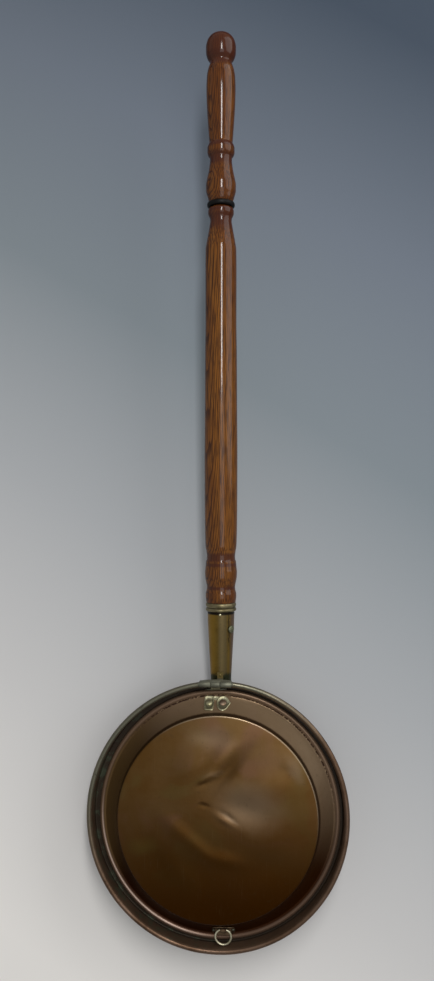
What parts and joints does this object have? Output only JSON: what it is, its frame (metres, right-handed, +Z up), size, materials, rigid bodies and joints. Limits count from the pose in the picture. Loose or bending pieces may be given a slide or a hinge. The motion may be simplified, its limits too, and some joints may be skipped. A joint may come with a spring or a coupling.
{
  "type": "bed warming pan",
  "caption": "Round metal warming pan with a raised hinged lid, rolled rims, a lifting ring and a long turned wooden handle in a riveted socket.",
  "frame": {"origin": "centre of the pan's flat base", "axes": "+Y from the pan's centre along the handle, +Z up out of the pan's mouth"},
  "size_m": [0.3098, 1.0902, 0.1522],
  "materials": {
    "copper_pan": "aged copper sheet with brown patina and green verdigris by the rim",
    "copper_lid": "aged copper sheet, dented and softly polished",
    "iron_wire": "plain wire inside the rolled edges",
    "aged_brass": "grey-green aged brass",
    "socket_brass": "olive aged brass, dark where it meets other pieces",
    "bright_brass": "pale rubbed brass",
    "copper_rivet": "copper rivet head with brown patina",
    "turned_wood": "orange-brown turned wood with dark grain, polished",
    "black_wood": "blackened turned ring, satin"
  },
  "bodies": {
    "root": {"pan_body": "copper_pan", "pan_rim_wire": "iron_wire", "hinge_bracket": "aged_brass", "hinge_pin": "aged_brass", "bracket_rivet": "aged_brass", "handle_socket": "socket_brass", "socket_rivet_1": "copper_rivet", "socket_rivet_2": "copper_rivet", "socket_rivet_3": "copper_rivet", "socket_collar": "socket_brass", "handle_shaft": "turned_wood", "side_nail": "aged_brass", "front_pin": "bright_brass", "joint_stud": "turned_wood", "joint_ring": "black_wood", "grip_section": "turned_wood"},
    "lid": {"lid_shell": "copper_lid", "lid_rim_wire": "iron_wire", "hinge_strap": "aged_brass", "hinge_plate": "bright_brass", "plate_rivet_left": "bright_brass", "plate_rivet_right": "copper_rivet", "ring_saddle": "aged_brass", "saddle_rivet_left": "aged_brass", "saddle_rivet_right": "aged_brass"},
    "ring": {"lifting_ring": "bright_brass"}
  },
  "joints": [
    {"name": "lid_hinge", "type": "hinge", "parent": "root", "child": "lid", "pos_m": [-0.0025, 0.1519, 0.0775], "axis": [-1, 0, 0], "range_deg": [0, 165]},
    {"name": "ring_hinge", "type": "hinge", "parent": "lid", "child": "ring", "pos_m": [0.0082, -0.12917, 0.06572], "axis": [-1, 0, 0], "range_deg": [0, 120]}
  ]
}
